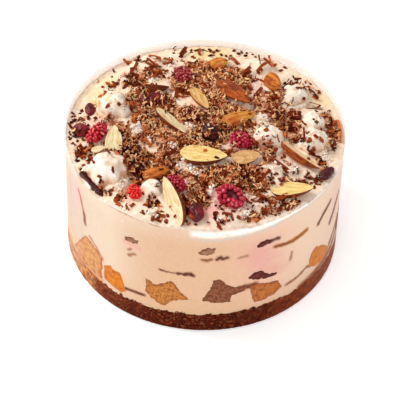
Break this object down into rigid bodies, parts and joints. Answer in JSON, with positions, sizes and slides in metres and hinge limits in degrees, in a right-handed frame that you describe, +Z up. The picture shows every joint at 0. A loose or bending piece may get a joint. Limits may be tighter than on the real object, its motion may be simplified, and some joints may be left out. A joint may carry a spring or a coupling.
{
  "type": "bento cake",
  "caption": "Round bento cake in a clear collar: crumb base, cream set with biscuit and fruit, topped with almonds, raspberries, cherries and chocolate shavings.",
  "frame": {"origin": "middle of the cake's underside, on the surface it stands on", "axes": "+Z up through the cake; -Y is the side that faces the viewer"},
  "size_m": [0.1248, 0.1248, 0.0684],
  "materials": {
    "collar_film": "clear glossy film",
    "crumb": "pressed dark biscuit crumbs",
    "cream": "soft whipped cream",
    "almond_flesh": "pale cut almond",
    "almond_skin": "ridged brown skin",
    "raspberry": "juicy berry",
    "cherry": "dark wrinkled fruit",
    "chocolate": "dark chocolate, cut dull",
    "sponge": "open crumb",
    "peach": "wet fruit",
    "biscuit": "baked biscuit",
    "brownie": "chocolate sponge",
    "date": "soft brown fruit"
  },
  "bodies": {
    "root": {"collar": "collar_film", "crumb_base": "crumb", "cream": "cream", "almond_1": "almond_flesh", "almond_2": "almond_flesh", "almond_3": "almond_flesh", "almond_4": "almond_flesh", "almond_5": "almond_flesh", "almond_6": "almond_flesh", "almond_7": "almond_flesh", "almond_8": "almond_skin", "almond_9": "almond_skin", "almond_10": "almond_skin", "almond_11": "almond_skin", "almond_12": "almond_skin", "almond_13": "almond_skin", "almond_14": "almond_skin", "almond_15": "almond_flesh", "almond_16": "almond_skin", "raspberry_1": "raspberry", "raspberry_2": "raspberry", "raspberry_3": "raspberry", "raspberry_4": "raspberry", "raspberry_5": "raspberry", "raspberry_6": "raspberry", "cherry_1": "cherry", "cherry_2": "cherry", "cherry_3": "cherry", "cherry_4": "cherry", "cherry_5": "cherry", "cherry_6": "cherry", "cherry_7": "cherry", "cherry_8": "cherry", "cherry_9": "cherry", "cherry_10": "cherry", "cherry_11": "cherry", "chocolate_strip_1": "chocolate", "chocolate_strip_2": "chocolate", "sponge_piece_1": "sponge", "sponge_piece_2": "sponge", "peach_piece_1": "peach", "peach_piece_2": "peach", "peach_piece_3": "peach", "peach_piece_4": "peach", "peach_piece_5": "peach", "biscuit_piece_1": "biscuit", "biscuit_piece_2": "biscuit", "biscuit_piece_3": "biscuit", "brownie_piece_1": "brownie", "brownie_piece_2": "brownie", "brownie_piece_3": "brownie", "brownie_piece_4": "brownie", "cherry_slice_1": "cherry", "cherry_slice_2": "cherry", "cherry_slice_3": "cherry", "cherry_slice_4": "cherry", "date_slice_1": "date", "date_slice_2": "date", "date_slice_3": "date"}
  },
  "joints": []
}
